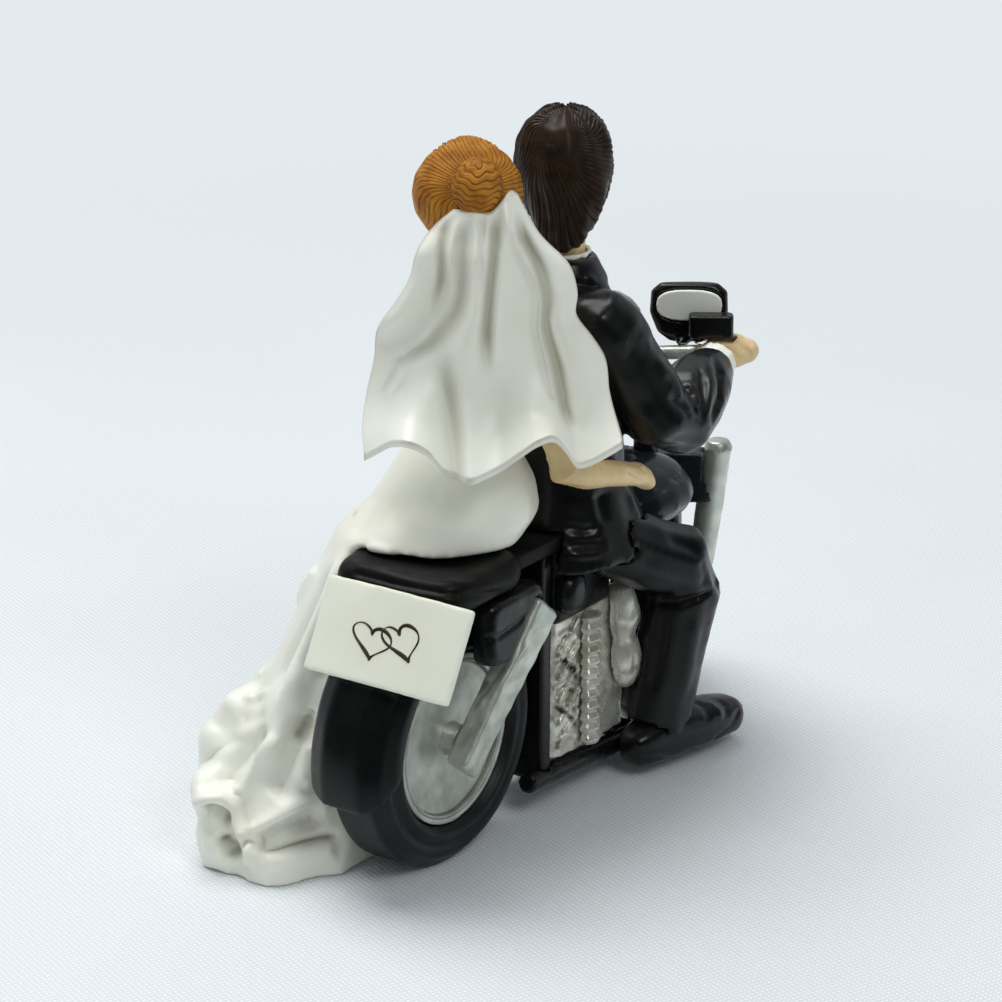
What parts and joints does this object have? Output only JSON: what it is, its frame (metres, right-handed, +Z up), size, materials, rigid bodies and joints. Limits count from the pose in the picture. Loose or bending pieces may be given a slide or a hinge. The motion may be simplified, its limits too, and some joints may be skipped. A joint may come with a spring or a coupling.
{
  "type": "wedding cake topper",
  "caption": "Cast-resin wedding cake topper: a bride riding pillion behind a groom on a motorcycle, with a bare curved sign board at the back.",
  "frame": {"origin": "bottom centre of the bounding box, on the plane that the tyres and the gown's hem stand on", "axes": "+Z up, +Y forwards from the rear wheel to the front wheel, +X to the riders' right"},
  "size_m": [0.0604, 0.1196, 0.1178],
  "materials": {
    "black_enamel": "glossy black enamel brushed over cast resin",
    "tank_paint": "glossy blue-grey enamel over cast resin",
    "silver_paint": "bright silver paint over cast resin, dark wash in the recesses",
    "pearl_paint": "pearly off-white glaze over cast resin",
    "cream_paint": "satin cream-white paint over cast resin",
    "skin_paint": "satin tan skin paint over cast resin",
    "brown_paint": "glossy dark brown paint over carved strands",
    "ochre_paint": "golden ochre paint over carved strands"
  },
  "bodies": {
    "root": {"rear_wheel_disc": "silver_paint", "rear_tyre": "black_enamel", "front_wheel_disc": "silver_paint", "front_tyre": "black_enamel", "pillion_seat": "black_enamel", "rider_seat": "black_enamel", "rear_fender": "black_enamel", "fender_strut": "silver_paint", "side_cover": "black_enamel", "sign_board": "cream_paint", "frame_post": "black_enamel", "frame_backbone": "black_enamel", "frame_rail_right": "black_enamel", "frame_rail_left": "black_enamel", "down_tube": "black_enamel", "engine_case": "silver_paint", "finned_cylinder_right": "silver_paint", "exhaust_right": "silver_paint", "finned_cylinder_left": "silver_paint", "exhaust_left": "silver_paint", "air_box": "black_enamel", "fuel_tank": "tank_paint", "fork_leg_right": "silver_paint", "fork_leg_left": "silver_paint", "fork_yoke": "tank_paint", "front_fender": "black_enamel", "handlebar": "silver_paint", "grip_right": "black_enamel", "brake_reservoir_right": "black_enamel", "grip_left": "black_enamel", "brake_reservoir_left": "black_enamel", "mirror_housing_right": "black_enamel", "mirror_face_right": "cream_paint", "mirror_housing_left": "silver_paint", "mirror_face_left": "cream_paint", "headlamp_shell": "black_enamel", "headlamp_lens": "silver_paint", "groom_head": "skin_paint", "groom_hair": "brown_paint", "groom_jacket": "black_enamel", "shirt_collar": "cream_paint", "groom_hand_right": "skin_paint", "shirt_cuff_right": "cream_paint", "groom_sleeve_right": "black_enamel", "groom_hand_left": "skin_paint", "shirt_cuff_left": "cream_paint", "groom_sleeve_left": "black_enamel", "groom_shoe_right": "black_enamel", "trouser_leg_right": "black_enamel", "groom_shoe_left": "black_enamel", "trouser_leg_left": "black_enamel", "bride_head": "skin_paint", "bride_hair": "ochre_paint", "bride_bun": "ochre_paint", "bride_veil": "pearl_paint", "bride_gown": "pearl_paint", "bride_arm_right": "skin_paint", "bride_arm_left": "skin_paint"}
  },
  "joints": []
}
